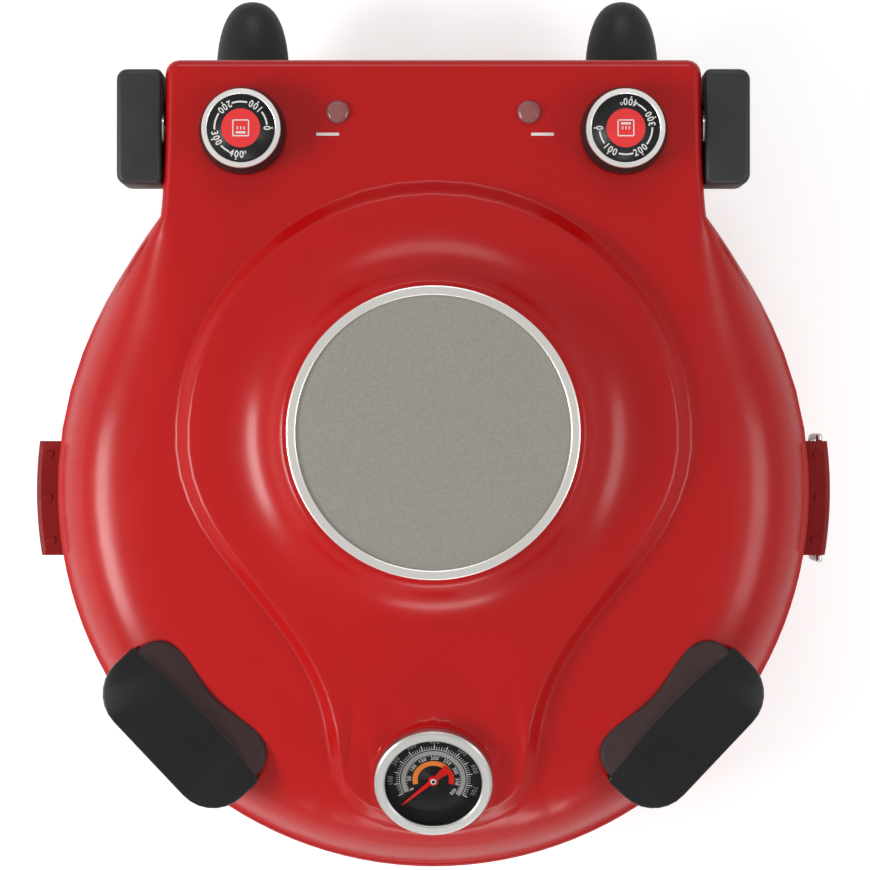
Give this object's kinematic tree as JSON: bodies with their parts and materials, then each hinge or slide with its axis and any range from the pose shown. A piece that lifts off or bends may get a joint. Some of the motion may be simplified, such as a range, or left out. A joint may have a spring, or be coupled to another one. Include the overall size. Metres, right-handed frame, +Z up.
{
  "type": "countertop pizza oven",
  "caption": "Round countertop pizza oven with a hinged red lid, a window, a thermometer, heat controls on a rear deck and black handles.",
  "frame": {"origin": "bottom centre of the bounding box", "axes": "+X to the user's right, +Y to the rear hinge, +Z up"},
  "size_m": [0.3998, 0.4376, 0.1522],
  "materials": {
    "red_paint": "gloss",
    "dark_red": "satin",
    "black_plastic": "satin",
    "gloss_black": "gloss",
    "rubber": "matte",
    "bright_steel": "polished",
    "brushed_steel": "brushed",
    "ring_alu": "satin",
    "liner_alu": "satin",
    "element": "dull",
    "stone": "matte",
    "porcelain": "glazed",
    "tinted_glass": "satin",
    "clear_glass": "clear",
    "lamp": "translucent",
    "red_plastic": "gloss",
    "dial_print": "satin"
  },
  "bodies": {
    "base": {"base_shell": "red_paint", "left_grip": "dark_red", "right_grip": "dark_red", "grip_rivets": "dark_red", "base_liner": "liner_alu", "baking_stone": "stone", "stone_supports": "bright_steel", "lower_element": "element", "lower_clips": "brushed_steel", "rear_plate": "black_plastic", "bottom_cover": "brushed_steel", "cover_screws": "bright_steel", "feet": "rubber", "left_rear_peg": "black_plastic", "right_rear_peg": "black_plastic", "left_hinge_tower": "black_plastic", "right_hinge_tower": "black_plastic", "hinge_pins": "bright_steel", "cord_gland": "black_plastic", "terminal_block": "porcelain"},
    "bail": {"latch_bail": "bright_steel"},
    "lid": {"lid_shell": "red_paint", "lid_liner": "liner_alu", "upper_element": "element", "upper_clips": "brushed_steel", "window_glass": "tinted_glass", "window_bezel": "ring_alu", "window_seal": "rubber", "window_retainer": "brushed_steel", "gauge_case": "brushed_steel", "gauge_bezel": "bright_steel", "gauge_dial": "dial_print", "gauge_glass": "clear_glass", "left_handle": "black_plastic", "right_handle": "black_plastic", "handle_screws": "bright_steel", "hinge_brackets": "brushed_steel", "control_cover": "brushed_steel", "left_thermostat": "porcelain", "right_thermostat": "porcelain", "left_lamp": "lamp", "right_lamp": "lamp"},
    "needle": {"gauge_needle": "red_plastic"},
    "left_knob": {"left_knob_body": "gloss_black", "left_knob_ring": "ring_alu", "left_knob_disc": "red_plastic", "left_shaft": "brushed_steel"},
    "right_knob": {"right_knob_body": "gloss_black", "right_knob_ring": "ring_alu", "right_knob_disc": "red_plastic", "right_shaft": "brushed_steel"}
  },
  "joints": [
    {"name": "lid_hinge", "type": "hinge", "parent": "base", "child": "lid", "pos_m": [0, 0.14665, 0.105], "axis": [-1, 0, 0], "range_deg": [0, 90]},
    {"name": "bail_swing", "type": "hinge", "parent": "base", "child": "bail", "pos_m": [0.1947, -0.03445, 0.0665], "axis": [0, -1, 0], "range_deg": [-5, 165]},
    {"name": "left_knob_turn", "type": "hinge", "parent": "lid", "child": "left_knob", "pos_m": [-0.092, 0.14395, 0.12], "axis": [0, 0, 1], "range_deg": [-270, 0]},
    {"name": "right_knob_turn", "type": "hinge", "parent": "lid", "child": "right_knob", "pos_m": [0.092, 0.14395, 0.12], "axis": [0, 0, 1], "range_deg": [-270, 0]},
    {"name": "needle_turn", "type": "hinge", "parent": "lid", "child": "needle", "pos_m": [0, -0.17065, 0.1275], "axis": [0, -0.3746, 0.9272], "range_deg": [-260, 0], "stiffness_Nm_per_rad": 0.0005}
  ]
}
